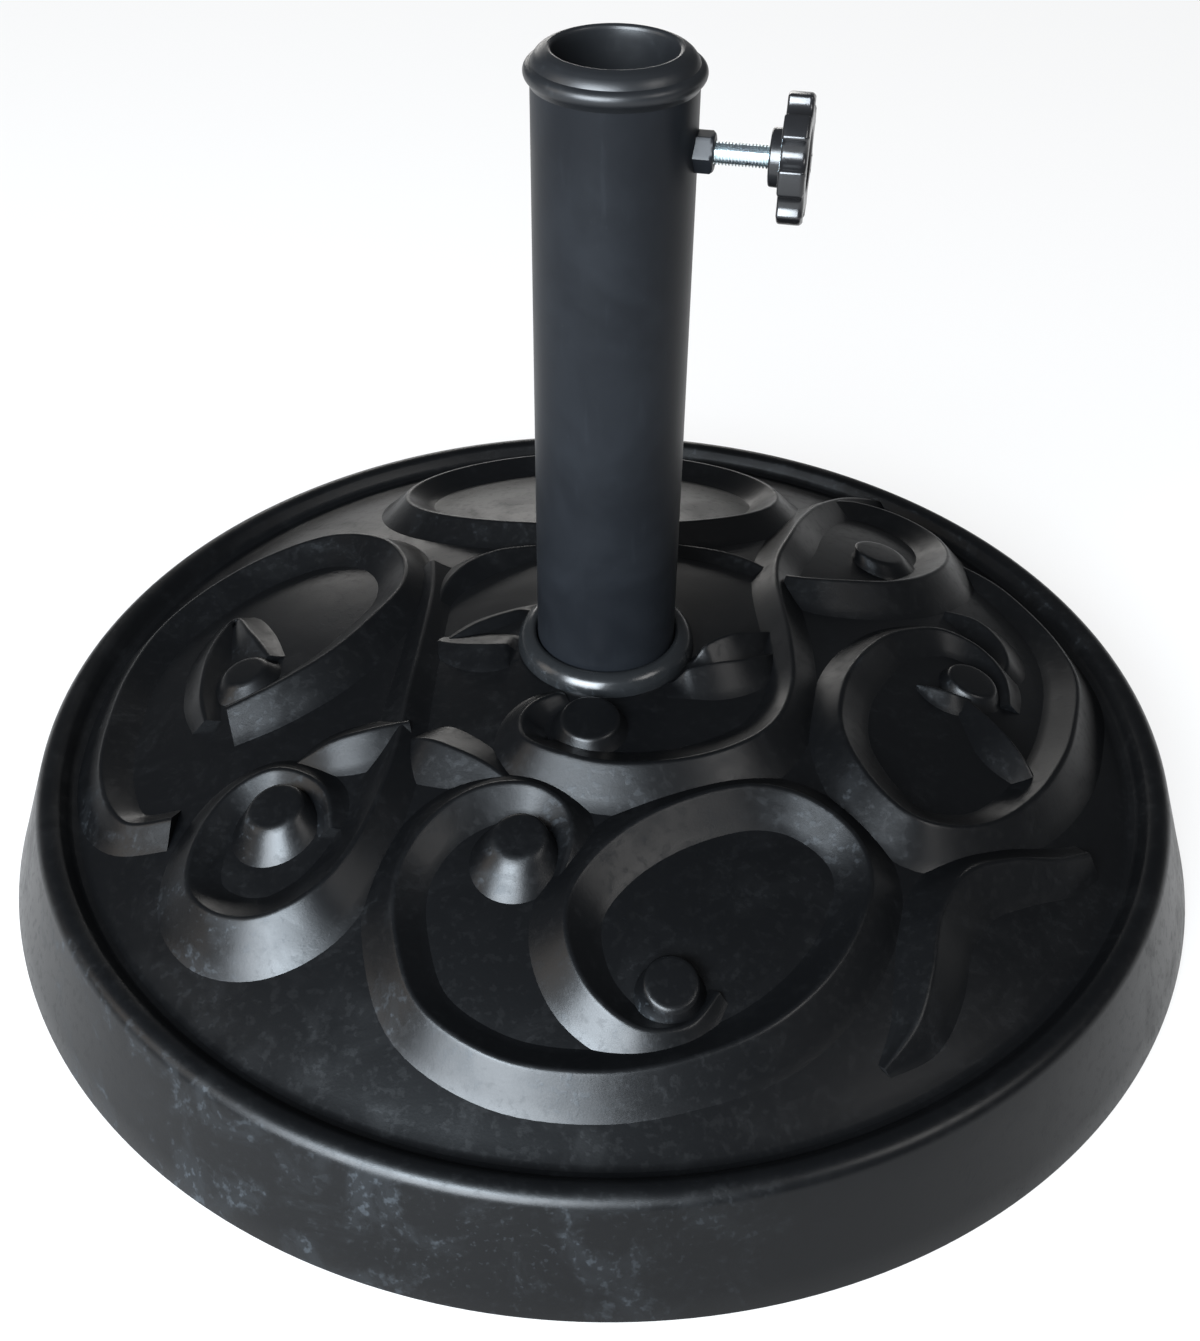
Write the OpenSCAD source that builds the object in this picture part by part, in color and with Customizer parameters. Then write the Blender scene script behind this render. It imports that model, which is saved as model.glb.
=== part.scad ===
// Parasol base: a ballasted disc with a clamped pole tube.
// Origin: centre of the footprint on the floor. +X runs along the clamp screw, +Z is up.

/* [Base] */
// Radius of the base at the floor
base_r = 226; // [215:1:235]
// Height of the crest of the rim
rim_h = 43.4; // [42:0.2:45]
// Inward lean of the side wall, per millimetre of height
draft = 0.36; // [0.30:0.01:0.40]
// Height of the middle of the domed top
dome_h = 82.2; // [80:0.2:84]
// Wall thickness of the moulded shell
wall = 3; // [2.5:0.1:3.4]

/* [Scroll relief] */
// Height of the scrolls over the domed top
relief_h = 8; // [4:0.5:9]
// Turn of the scroll pattern against the clamp screw, in degrees
relief_turn = 9.5; // [0:0.5:360]

/* [Pole tube] */
// Outside radius of the tube
tube_r = 25; // [24.5:0.1:25.5]
// Wall thickness of the tube
tube_wall = 1.5; // [1.2:0.1:1.8]
// Height of the tube's top edge
tube_top = 288; // [283:1:320]
// Radius of the hole that takes the pole
pole_r = 18.5; // [16:0.1:19]

/* [Clamp screw] */
// Radius of the threaded shank
screw_r = 3.45; // [3:0.05:3.8]
// Distance across the flats of its nut
nut_af = 11; // [10:0.5:13]
// Drop of the screw's axis below the tube's top edge
screw_drop = 18.6; // [18.6:0.2:40]
// Radius of the knob
knob_r = 18.8; // [17.5:0.1:22]
// Number of lobes on the knob
knob_lobes = 7; // [5:1:8]

/* [Underside] */
// Thickness of the pad of a foot
foot_h = 3; // [2:0.5:4]

/* [Hidden] */
$fn = 96;
foot_count = 6;        // feet, with as many cover screws between them

gap = 0.4;             // between the shell and what fills it
close_fit = 0.05;      // radial clearance of a pin in its hole
bottom = foot_h;       // underside of the shell and of the cover
cover_t = 3;
cover_top = bottom + cover_t;

// The domed top is a cap of one sphere that meets the valley inside the rim.
valley_r = 198;
valley_h = 37;
dome_rise = dome_h - valley_h;
dome_R = (valley_r * valley_r + dome_rise * dome_rise) / (2 * dome_rise);
dome_z = dome_h - dome_R;

rim_round = 6;
rim_z = rim_h - rim_round;
rim_r = base_r - draft * rim_z - rim_round * sqrt(1 + draft * draft);
rim_a0 = atan(draft);
rim_a1 = 140;

step_inset = 4;        // width of the relief's lower step
clean = 1.2;           // smallest feature kept in the relief's plan

seat_z = 81;           // flat seat for the trim ring
seat_r = 33;
ring_r = 32.3;         // outside radius of the trim ring
tube_bottom = 30;
tube_in = tube_r - tube_wall;
hole_r = tube_r + gap;
boss_ring = 190;       // radius of the circle of screw bosses
boss_r = 5.5;
cover_screw_r = 1.75;
foot_circle = 195;     // radius of the circle of feet
stem_r = 4.2;          // hole for the stem of a foot
foot_r = 12;
foot_step = 360 / foot_count;
screw_z = tube_top - screw_drop;

bolt_r = 4.95;         // centre bolt M10
bolt_af = 17;
recess_top = 16;       // recess in the concrete for the bolt's head
recess_r = 22;
washer_r = 20;
washer_t = 3;
spring_r = 8.5;
spring_t = 2.4;
bolt_head = 6.4;
plate_t = 5;
foot_nut_h = 8;
seat_h = 23;           // height of the bush that centres the pole's foot

// Stations along the clamp screw, from the tube's axis
nut_out = 30.2;        // outer face of the nut
pad_in = 19.9;         // the pad's two faces
pad_out = 22.8;
hub_in = 46.6;         // inner face of the knob's hub
knob_in = 50.3;        // the knob's two faces
knob_out = 58.1;
pad_r = 4.5;
nose_r = 2.2;          // tip of the screw, held in the pad
hub_r = 8.6;
scallop_r = 4.4;       // scallops between the knob's lobes
lobe_turn = 24.6;      // one lobe points this far over the horizontal

function corner(af) = af / 2 / cos(30);
function arc(cx, cy, r, a0, a1, n) =
    [for (i = [0:n]) let (a = a0 + (a1 - a0) * i / n) [cx + r * cos(a), cy + r * sin(a)]];

// Scrolls: each is a centre line of [x, y, half width] points, joined by a spline.
front_scroll = [
    [-14, -112, 4], [-10, -98, 7], [-13, -85, 8], [-25, -77, 9], [-42, -79, 10], [-57, -90, 10],
    [-66, -108, 10], [-65, -130, 10], [-55, -154, 10], [-30, -170, 10], [0, -174, 10],
    [28, -169, 10], [54, -157, 11], [75, -136, 11], [87, -110, 11], [84, -91, 11], [68, -78, 11],
    [48, -76, 11], [24, -85, 11], [4, -99, 11], [-9, -116, 11], [-11, -132, 11], [-4, -149, 10],
    [11, -160, 8], [27, -158, 6], [37, -146, 3]];
near_left_scroll = [
    [-91, -86, 4], [-94, -73, 7], [-103, -64, 8], [-116, -60, 9], [-130, -68, 9], [-138, -86, 10],
    [-137, -104, 11], [-125, -117, 13], [-109, -121, 14], [-94, -115, 14], [-84, -102, 12],
    [-77, -84, 10], [-72, -60, 9], [-70, -30, 8], [-68, 0, 7], [-67, 30, 7], [-69, 52, 8]];
centre_scroll = [
    [-14, -32, 4], [-24, -38, 6], [-29, -49, 8], [-24, -62, 12], [0, -71, 13], [25, -69, 13],
    [46, -60, 13], [60, -45, 11], [67, -24, 9], [68, 2, 9], [66, 35, 9], [68, 58, 9],
    [75, 80, 10], [83, 104, 10], [93, 127, 10], [105, 148, 10]];
back_ring = [for (i = [0:20]) [-7 + 80 * cos(18 * i), 122 + 49 * sin(18 * i), 11]];
left_scroll = [
    [-149, -72, 8], [-166, -69, 8], [-177, -56, 10], [-184, -35, 11], [-186, -10, 11],
    [-185, 15, 11], [-178, 40, 12], [-163, 60, 13], [-141, 77, 13], [-115, 84, 13],
    [-93, 74, 12], [-81, 55, 11], [-79, 33, 11], [-88, 12, 12], [-101, -7, 13],
    [-119, -20, 13], [-137, -27, 12]];
left_curl = [
    [-146, -25, 5], [-151, -8, 7], [-152, 16, 8], [-146, 34, 8], [-137, 20, 9], [-127, 4, 6]];
right_scroll = [
    [152, -6, 4], [152, 10, 7], [144, 23, 8], [130, 27, 9], [116, 21, 9], [105, 12, 9],
    [94, -4, 10], [86, -22, 10], [83, -45, 11], [91, -68, 13], [107, -81, 13], [131, -75, 10],
    [152, -57, 11], [168, -32, 12], [178, -6, 12], [184, 20, 12], [182, 44, 10], [176, 62, 6]];
far_right_scroll = [
    [78, 41, 11], [98, 43, 11], [115, 50, 11], [129, 63, 11], [138, 82, 11], [138, 100, 11],
    [128, 115, 10], [112, 120, 9], [99, 112, 8], [93, 98, 7], [95, 84, 5]];
near_right_scroll = [
    [162, -82, 7], [141, -88, 9], [121, -99, 9], [109, -116, 9], [105, -134, 8], [99, -150, 6],
    [89, -161, 2]];
scrolls = [front_scroll, near_left_scroll, centre_scroll, back_ring, left_scroll, left_curl,
           right_scroll, far_right_scroll, near_right_scroll];
leaves = [
    [[-108, -54, 1], [-96, -52, 9], [-82, -50, 11], [-68, -46, 8]],
    [[-64, -58, 14], [-52, -60, 12], [-40, -66, 8], [-27, -75, 1]],
    [[24, -24, 8], [37, -18, 10], [50, -8, 7], [62, 6, 1]],
    [[-27, 22, 7], [-38, 18, 6], [-52, 4, 1]],
    [[-34, 56, 7], [-48, 50, 8], [-64, 40, 3]],
    [[36, 62, 6], [48, 58, 6], [64, 46, 3]],
    [[143, 58, 2], [154, 42, 7], [156, 26, 4]],
    [[140, -15, 6], [146, -29, 10], [154, -44, 2]],
    [[138, -4, 7], [130, -10, 6], [119, -22, 1]]];
// Eyes of the scrolls: [x, y, radius]
eyes = [
    [-27, -99, 12], [22, -147, 10], [-111, -78, 12], [-5, -47, 11],
    [-135, -3, 10], [138, 0, 10], [115, 82, 11]];

function spline(a, b, c, d, t) =
    (2 * b + (c - a) * t + (2 * a - 5 * b + 4 * c - d) * t * t
     + (3 * b - a - 3 * c + d) * t * t * t) / 2;
function along(p, n) = concat(
    [for (i = [0:len(p) - 2]) for (k = [0:n - 1])
        spline(p[max(i - 1, 0)], p[i], p[i + 1], p[min(i + 2, len(p) - 1)], k / n)],
    [p[len(p) - 1]]);
function edge(p, i, s) =
    let (d = p[min(i + 1, len(p) - 1)] - p[max(i - 1, 0)], l = norm([d.x, d.y]))
    [p[i].x - s * p[i].z * d.y / l, p[i].y + s * p[i].z * d.x / l];

// Plan of one scroll or leaf
module strip(points) {
    p = along(points, 2);
    for (i = [0:len(p) - 2])
        polygon([edge(p, i, 1), edge(p, i + 1, 1), edge(p, i + 1, -1), edge(p, i, -1)]);
}

// Plan of the whole relief, with its finest corners rounded off
module relief_plan() {
    rotate([0, 0, relief_turn])
        offset(delta = -clean) offset(delta = 2 * clean) offset(delta = -clean) {
            for (s = concat(scrolls, leaves)) strip([for (q = s) [q.x, q.y, q.z * 0.85]]);
            for (e = eyes) translate([e.x, e.y]) circle(r = e.z, $fn = 24);
        }
}

// One step of the relief: its plan drawn in by an inset, up to a height over the dome
module relief_step(inset, height, depth) {
    intersection() {
        translate([0, 0, valley_h - 8])
            linear_extrude(dome_h) offset(delta = clean) offset(delta = -inset - clean) relief_plan();
        dome_skin(height, depth);
        cylinder(r = valley_r + 3, h = 2 * dome_h);
    }
}

// Spherical skin from a depth under the domed surface to a height over it
module dome_skin(height, depth) {
    translate([0, 0, dome_z]) difference() {
        sphere(r = dome_R + height);
        sphere(r = dome_R - depth);
    }
}

module ring_of(count, r, first) {
    for (i = [0:count - 1]) rotate([0, 0, first + i * 360 / count]) translate([r, 0, 0]) children();
}

module skirt() {
    rotate_extrude()
        polygon(concat(
            [[base_r - draft * bottom, bottom]],
            arc(rim_r, rim_z, rim_round, rim_a0, rim_a1, 8),
            [[valley_r, valley_h], [valley_r - 3, valley_h], [valley_r - 3, valley_h - wall + 1],
             [valley_r + 1, valley_h - wall]],
            arc(rim_r, rim_z, rim_round - wall, rim_a1, rim_a0, 6),
            [[base_r - draft * bottom - wall * sqrt(1 + draft * draft), bottom]]));
}

module base_shell() {
    color([0.09, 0.10, 0.11]) difference() {
        union() {
            skirt();
            intersection() {
                dome_skin(0, wall);
                cylinder(r = valley_r + 0.2, h = 2 * dome_h);
            }
            difference() {
                union() {
                    relief_step(0, relief_h / 2, 1);
                    relief_step(step_inset, relief_h, 1.8);
                }
                cylinder(r = seat_r, h = 2 * dome_h);
            }
            translate([0, 0, seat_z - 8]) cylinder(r = hole_r + wall, h = 8);
            intersection() {
                ring_of(foot_count, boss_ring, foot_step / 2)
                    translate([0, 0, cover_top + 0.1]) cylinder(r = boss_r, h = dome_h);
                translate([0, 0, dome_z]) sphere(r = dome_R - wall / 3);
            }
        }
        translate([0, 0, seat_z]) cylinder(r = seat_r, h = 10);
        cylinder(r = hole_r, h = 2 * dome_h);
        ring_of(foot_count, boss_ring, foot_step / 2) cylinder(r = cover_screw_r + close_fit, h = 24);
    }
}

module concrete_core() {
    color([0.55, 0.54, 0.52]) difference() {
        intersection() {
            translate([0, 0, dome_z]) sphere(r = dome_R - wall - gap);
            translate([0, 0, cover_top + gap])
                cylinder(r1 = base_r - draft * cover_top - wall - 3 * gap,
                         r2 = base_r - draft * (cover_top + dome_h) - wall - 3 * gap, h = dome_h);
        }
        translate([0, 0, tube_bottom]) cylinder(r = hole_r + 0.2, h = dome_h);
        translate([0, 0, seat_z - 9]) cylinder(r = hole_r + wall + gap, h = 20);
        cylinder(r = bolt_r + 1, h = dome_h);
        cylinder(r = recess_r, h = recess_top);
        ring_of(foot_count, boss_ring, foot_step / 2) cylinder(r = boss_r + gap, h = dome_h);
        ring_of(foot_count, foot_circle, 0) cylinder(r = stem_r + 2.3, h = cover_top + 5);
    }
}

module bottom_cover() {
    color([0.12, 0.12, 0.13]) difference() {
        translate([0, 0, bottom])
            cylinder(r = base_r - draft * cover_top - wall - 2 * gap, h = cover_t);
        cylinder(r = recess_r + 2, h = 20);
        ring_of(foot_count, boss_ring, foot_step / 2) {
            cylinder(r = 2.2, h = 20);
            cylinder(r = 4.3, h = bottom + 1.2);
        }
        ring_of(foot_count, foot_circle, 0) cylinder(r = stem_r, h = 20);
    }
}

module cover_screws() {
    color([0.70, 0.71, 0.73]) ring_of(foot_count, boss_ring, foot_step / 2) difference() {
        union() {
            translate([0, 0, bottom - 1]) cylinder(r = 3.8, h = 2.2);
            translate([0, 0, bottom + 1]) cylinder(r = cover_screw_r, h = 16);
        }
        for (a = [0, 90]) rotate([0, 0, a])
            translate([-2, -0.4, bottom - 2]) cube([4, 0.8, 2]);
    }
}

module foot(i) {
    color([0.07, 0.07, 0.07]) rotate([0, 0, (i - 1) * foot_step]) translate([foot_circle, 0, 0]) {
        rotate_extrude()
            polygon([[0, 0], [foot_r - 0.8, 0], [foot_r, 0.8], [foot_r, foot_h],
                     [stem_r - close_fit, foot_h], [stem_r - close_fit, cover_top + 0.05],
                     [stem_r + 1.2, cover_top + 0.1], [stem_r - 0.6, cover_top + 3.6],
                     [0, cover_top + 3.6]]);
    }
}

module foot_ring() {
    color([0.10, 0.11, 0.12]) translate([0, 0, seat_z]) rotate_extrude()
        polygon([[tube_r + 0.3, 0.05], [ring_r, 0.05], [ring_r, 1.2], [ring_r - 0.6, 3.2],
                 [ring_r - 1.8, 5.1], [ring_r - 3.4, 6.5], [tube_r + 2.3, 7.1],
                 [tube_r + 1.1, 6.9], [tube_r + 0.3, 5.9]]);
}

module mast_tube() {
    color([0.11, 0.12, 0.13]) difference() {
        translate([0, 0, tube_bottom]) cylinder(r = tube_r, h = tube_top - tube_bottom);
        translate([0, 0, tube_bottom - 1]) cylinder(r = tube_in, h = tube_top);
        translate([0, 0, screw_z]) rotate([0, 90, 0]) cylinder(r = screw_r + 0.55, h = 2 * tube_r);
    }
}

module tube_plate() {
    color([0.45, 0.46, 0.48]) translate([0, 0, tube_bottom]) difference() {
        cylinder(r = tube_in - 0.1, h = plate_t);
        translate([0, 0, -1]) cylinder(r = bolt_r + close_fit, h = 20);
    }
}

module foot_nut() {
    color([0.60, 0.61, 0.63]) translate([0, 0, tube_bottom + plate_t]) difference() {
        cylinder(r = corner(bolt_af), h = foot_nut_h, $fn = 6);
        translate([0, 0, -1]) cylinder(r = bolt_r + close_fit, h = 20);
    }
}

module centre_bolt() {
    head_top = recess_top - washer_t - spring_t;
    color([0.68, 0.69, 0.71]) {
        translate([0, 0, head_top - bolt_head]) cylinder(r = corner(bolt_af), h = bolt_head, $fn = 6);
        translate([0, 0, head_top - 0.1])
            cylinder(r = bolt_r, h = tube_bottom + plate_t + foot_nut_h + 0.6 - head_top);
    }
}

module washer(r, t, z) {
    translate([0, 0, z]) difference() {
        cylinder(r = r, h = t);
        translate([0, 0, -1]) cylinder(r = bolt_r + 0.4, h = t + 2);
    }
}

module plain_washer() {
    color([0.66, 0.67, 0.69]) washer(washer_r, washer_t, recess_top - washer_t);
}

module spring_washer() {
    color([0.58, 0.59, 0.61]) difference() {
        washer(spring_r, spring_t, recess_top - washer_t - spring_t);
        translate([bolt_r, -0.6, 0]) rotate([20, 0, 0]) cube([10, 1.2, 40]);
    }
}

module pole_seat() {
    z0 = tube_bottom + plate_t + foot_nut_h + 0.2;
    color([0.14, 0.14, 0.15]) translate([0, 0, z0]) difference() {
        cylinder(r = tube_in - 0.3, h = seat_h);
        translate([0, 0, -1]) cylinder(r = pole_r + 0.2, h = seat_h + 2);
        translate([0, 0, seat_h - 4]) cylinder(r1 = pole_r, r2 = pole_r + 3.5, h = 4.1);
    }
}

module top_collar() {
    color([0.12, 0.13, 0.14]) translate([0, 0, tube_top]) difference() {
        rotate_extrude()
            polygon(concat(
                [[pole_r - 2, -13], [tube_in - 1.2, -13], [tube_in - 0.3, -12], [tube_in - 0.3, 0.05],
                 [tube_r + 0.3, 0.05]],
                arc(tube_r - 0.6, 3.6, 2.7, -50, 62, 7),
                [[tube_r - 0.1, 6.6], [tube_r - 1.3, 8.4], [pole_r + 1.6, 10.4], [pole_r + 0.5, 10.3],
                 [pole_r - 2, 9.2]]));
        translate([0, 0, -20]) cylinder(r = pole_r, h = 40);
    }
}

module along_screw(x) {
    translate([x, 0, screw_z]) rotate([0, 90, 0]) children();
}

module clamp_nut() {
    color([0.11, 0.12, 0.13]) difference() {
        intersection() {
            along_screw(tube_r - 1) rotate([0, 0, 30])
                cylinder(r = corner(nut_af), h = nut_out - tube_r + 1, $fn = 6);
            along_screw(tube_r - 1) rotate_extrude()
                polygon([[0, 0], [corner(nut_af) + 0.1, 0],
                         [corner(nut_af) + 0.1, nut_out - tube_r + 0.5],
                         [nut_af / 2 - 0.1, nut_out - tube_r + 1], [0, nut_out - tube_r + 1]]);
        }
        cylinder(r = tube_r + 0.3, h = 2 * tube_top);
        along_screw(0) cylinder(r = screw_r + close_fit, h = 60);
    }
}

module clamp_bolt() {
    color([0.80, 0.82, 0.85]) {
        along_screw(pad_in + 1.4) cylinder(r = nose_r, h = 5);
        along_screw(pad_out + 0.3) cylinder(r = screw_r, h = knob_in - pad_out);
        along_screw(knob_in + 0.1) rotate([0, 0, 30])
            cylinder(r = corner(nut_af), h = 4, $fn = 6);
    }
}

module clamp_pad() {
    color([0.20, 0.20, 0.21]) difference() {
        along_screw(pad_in) rotate_extrude()
            polygon([[0, 0], [pad_r - 0.5, 0], [pad_r, 0.5], [pad_r, pad_out - pad_in],
                     [0, pad_out - pad_in]]);
        along_screw(pad_in + 1.2) cylinder(r = nose_r + close_fit, h = 5);
    }
}

module knob() {
    color([0.08, 0.08, 0.09]) difference() {
        along_screw(0) rotate_extrude()
            polygon([[0, hub_in], [hub_r - 0.6, hub_in], [hub_r, hub_in + 0.5], [hub_r, knob_in],
                     [knob_r - 0.5, knob_in], [knob_r, knob_in + 0.5], [knob_r, knob_out - 0.9],
                     [knob_r - 1.1, knob_out], [9.5, knob_out], [9, knob_out - 0.8],
                     [0, knob_out - 0.8]]);
        for (i = [0:knob_lobes - 1])
            translate([knob_in - 0.1, 0, screw_z])
                rotate([180 - lobe_turn + (i + 0.5) * 360 / knob_lobes, 0, 0])
                    translate([0, knob_r + 0.7, 0]) rotate([0, 90, 0]) cylinder(r = scallop_r, h = 9);
        along_screw(0) cylinder(r = screw_r + close_fit, h = knob_in + 1);
        along_screw(knob_in) rotate([0, 0, 30])
            cylinder(r = corner(nut_af + 0.1), h = 4.2, $fn = 6);
    }
}

base_shell();
concrete_core();
bottom_cover();
cover_screws();
for (i = [1:foot_count]) foot(i);
foot_ring();
mast_tube();
tube_plate();
foot_nut();
centre_bolt();
plain_washer();
spring_washer();
pole_seat();
top_collar();
clamp_nut();
clamp_bolt();
clamp_pad();
knob();
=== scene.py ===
import logging
import math
from dataclasses import dataclass, field
from enum import Enum
from typing import Any, Sequence

import bmesh
import bpy
from mathutils import Matrix, Vector


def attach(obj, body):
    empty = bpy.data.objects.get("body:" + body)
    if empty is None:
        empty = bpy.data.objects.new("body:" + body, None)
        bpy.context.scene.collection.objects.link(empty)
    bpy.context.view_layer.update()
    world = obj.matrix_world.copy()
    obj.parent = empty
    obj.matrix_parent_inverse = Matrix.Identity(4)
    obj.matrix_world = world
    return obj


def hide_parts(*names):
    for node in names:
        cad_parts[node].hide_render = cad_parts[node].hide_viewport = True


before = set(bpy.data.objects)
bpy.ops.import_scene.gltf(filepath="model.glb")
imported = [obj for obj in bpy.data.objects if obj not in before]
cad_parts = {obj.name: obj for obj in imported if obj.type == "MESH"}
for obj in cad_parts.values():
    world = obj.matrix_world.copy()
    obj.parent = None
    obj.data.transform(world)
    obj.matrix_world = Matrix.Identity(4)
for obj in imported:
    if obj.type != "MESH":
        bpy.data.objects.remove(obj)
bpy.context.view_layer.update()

MM = 0.001
Point2 = tuple[float, float]
Station = tuple[float, float, float]
Colour = tuple[float, float, float]
Direction = tuple[float, float, float]
log = logging.getLogger("parasol_base")


# ---- meshes

class Axis(Enum):
    """The line a turned piece is turned about."""

    UP = "up"
    SCREW = "screw"


class Shape:
    """A mesh under construction, in millimetres."""

    def __init__(self) -> None:
        """Starts with no points and no faces."""
        self.points: list[Vector] = []
        self.faces: list[list[int]] = []

    def grid(self, rows: Sequence[Sequence[Vector]], wrap_rows: bool = False,
             wrap_columns: bool = False) -> list[list[int]]:
        """Adds a sheet of quads through rows of points.

        Args:
            rows: the points, row by row, all rows equally long.
            wrap_rows: whether the last row joins the first.
            wrap_columns: whether each row closes on itself.

        Returns:
            The index of every point, row by row.
        """
        index = []
        for row in rows:
            start = len(self.points)
            self.points.extend(row)
            index.append(list(range(start, start + len(row))))
        n, m = len(index), len(index[0])
        for i in range(n if wrap_rows else n - 1):
            for j in range(m if wrap_columns else m - 1):
                a, b = index[i], index[(i + 1) % n]
                self.faces.append([a[j], a[(j + 1) % m], b[(j + 1) % m], b[j]])
        return index

    def cap(self, ring: Sequence[int]) -> None:
        """Closes a ring of points, given by their indices, with one face."""
        self.faces.append(list(ring))

    def fan(self, ring: Sequence[int], middle: Vector) -> None:
        """Closes a ring of points with a fan about a middle point.

        Args:
            ring: the indices of the points.
            middle: the middle point.
        """
        self.points.append(middle)
        hub = len(self.points) - 1
        for i, a in enumerate(ring):
            self.faces.append([a, ring[(i + 1) % len(ring)], hub])

    def build(self, name: str, sharp: float = 38.0) -> bpy.types.Object:
        """Makes the Blender object, with every face looking outwards.

        Args:
            name: the piece's name.
            sharp: edges with a larger angle than this, in degrees, stay sharp.

        Returns:
            The object, linked to the scene.
        """
        mesh = bpy.data.meshes.new(name)
        mesh.from_pydata([p * MM for p in self.points], [], self.faces)
        mesh.validate()
        outward = bmesh.new()
        outward.from_mesh(mesh)
        bmesh.ops.recalc_face_normals(outward, faces=outward.faces)
        outward.to_mesh(mesh)
        outward.free()
        mesh.shade_smooth()
        mesh.set_sharp_from_angle(angle=math.radians(sharp))
        piece = bpy.data.objects.new(name, mesh)
        bpy.context.scene.collection.objects.link(piece)
        return piece


def arc(cx: float, cy: float, r: float, a0: float, a1: float, n: int) -> list[Point2]:
    """Points along an arc, both ends included.

    Args:
        cx, cy: the centre.
        r: the radius.
        a0, a1: the first and last angle, in degrees.
        n: the number of steps.

    Returns:
        The points.
    """
    turn = [math.radians(a0 + (a1 - a0) * i / n) for i in range(n + 1)]
    return [(cx + r * math.cos(a), cy + r * math.sin(a)) for a in turn]


def filleted(corners: Sequence[tuple[float, float, float]], steps: int = 5) -> list[Point2]:
    """A closed outline with rounded corners, with support points beside each rounding.

    Args:
        corners: x, y and corner radius of each corner; radius 0 keeps the corner.
        steps: the number of steps in each rounding.

    Returns:
        The outline's points.
    """
    out: list[Point2] = []
    n = len(corners)
    for i, (x, y, r) in enumerate(corners):
        here = Vector((x, y))
        if r <= 0:
            out.append((x, y))
            continue
        to_last = Vector(corners[i - 1][:2]) - here
        to_next = Vector(corners[(i + 1) % n][:2]) - here
        half = to_last.angle(to_next) / 2
        cut = min(r / math.tan(half), 0.48 * to_last.length, 0.48 * to_next.length)
        real = cut * math.tan(half)
        ends = here + to_last.normalized() * cut, here + to_next.normalized() * cut
        middle = here + (to_last.normalized() + to_next.normalized()).normalized() * (
            real / math.sin(half))
        spare = min(0.35 * cut, 0.02 * to_last.length + 0.1)
        if cut + spare < 0.5 * to_last.length:
            out.append(tuple(ends[0] + to_last.normalized() * spare))
        first, last = ends[0] - middle, ends[1] - middle
        for k in range(steps + 1):
            out.append(tuple(middle + first.slerp(last, k / steps).normalized() * real))
        if cut + spare < 0.5 * to_next.length:
            out.append(tuple(ends[1] + to_next.normalized() * spare))
    return out


def smooth_line(points: Sequence[Sequence[float]], steps: int, closed: bool = False
                ) -> list[tuple[float, ...]]:
    """A spline through points, for a scroll's line or a turned profile.

    Args:
        points: the points, with any number of coordinates.
        steps: the number of steps between two points.
        closed: whether the line runs on from the last point to the first.

    Returns:
        The points along the spline.
    """
    n = len(points)
    out = []
    for i in range(n if closed else n - 1):
        near = [i - 1, i, i + 1, i + 2]
        a, b, c, d = (points[k % n] if closed else points[min(max(k, 0), n - 1)] for k in near)
        for k in range(steps):
            t = k / steps
            out.append(tuple((2 * q + (r - p) * t + (2 * p - 5 * q + 4 * r - s) * t * t
                              + (3 * q - p - 3 * r + s) * t ** 3) / 2
                             for p, q, r, s in zip(a, b, c, d)))
    if not closed:
        out.append(tuple(points[-1]))
    return out


def turned(name: str, outline: Sequence[Point2], segments: int, axis: Axis = Axis.UP,
           height: float = 0.0, sharp: float = 38.0) -> bpy.types.Object:
    """A ring-shaped piece turned from a closed outline.

    Args:
        name: the piece's name.
        outline: radius and distance along the axis of each point, all off the axis.
        segments: the number of steps round.
        axis: the line it's turned about.
        height: the height of a lying axis over the floor.
        sharp: edges with a larger angle than this, in degrees, stay sharp.

    Returns:
        The piece.
    """
    shape = Shape()
    rows = []
    for i in range(segments):
        a = 2 * math.pi * i / segments
        c, s = math.cos(a), math.sin(a)
        if axis is Axis.UP:
            rows.append([Vector((r * c, r * s, z)) for r, z in outline])
        else:
            rows.append([Vector((x, r * c, height + r * s)) for r, x in outline])
    shape.grid(rows, wrap_rows=True, wrap_columns=True)
    return shape.build(name, sharp)


def joined(name: str, parts: Sequence[bpy.types.Object]) -> bpy.types.Object:
    """Joins several objects into one piece.

    Args:
        name: the piece's name.
        parts: the objects.

    Returns:
        The piece.
    """
    with bpy.context.temp_override(active_object=parts[0], selected_editable_objects=list(parts)):
        bpy.ops.object.join()
    parts[0].name = name
    parts[0].data.name = name
    return parts[0]


# ---- materials

class Value:
    """A number that varies over a surface; sums on it add Math nodes."""

    def __init__(self, paint: "Paint", socket: bpy.types.NodeSocket) -> None:
        """Wraps a socket of a paint's node tree."""
        self.paint = paint
        self.socket = socket

    def _sum(self, operation: str, first: Any, second: Any) -> "Value":
        """Adds one Math node on two values."""
        return self.paint.node("ShaderNodeMath", {"operation": operation}, {0: first, 1: second})

    def __add__(self, other: Any) -> "Value":
        """Adds a value."""
        return self._sum("ADD", self, other)

    def __sub__(self, other: Any) -> "Value":
        """Takes a value away."""
        return self._sum("SUBTRACT", self, other)

    def __rsub__(self, other: Any) -> "Value":
        """Is taken away from a value."""
        return self._sum("SUBTRACT", other, self)

    def __mul__(self, other: Any) -> "Value":
        """Multiplies by a value."""
        return self._sum("MULTIPLY", self, other)

    __radd__ = __add__
    __rmul__ = __mul__

    def step(self, low: float, high: float) -> "Value":
        """A smooth step.

        Args:
            low: where it starts to rise from 0.
            high: where it reaches 1.

        Returns:
            The step, from 0 to 1.
        """
        return self.paint.node("ShaderNodeMapRange", {"interpolation_type": "SMOOTHSTEP"},
                               {"Value": self, "From Min": low, "From Max": high})


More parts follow.
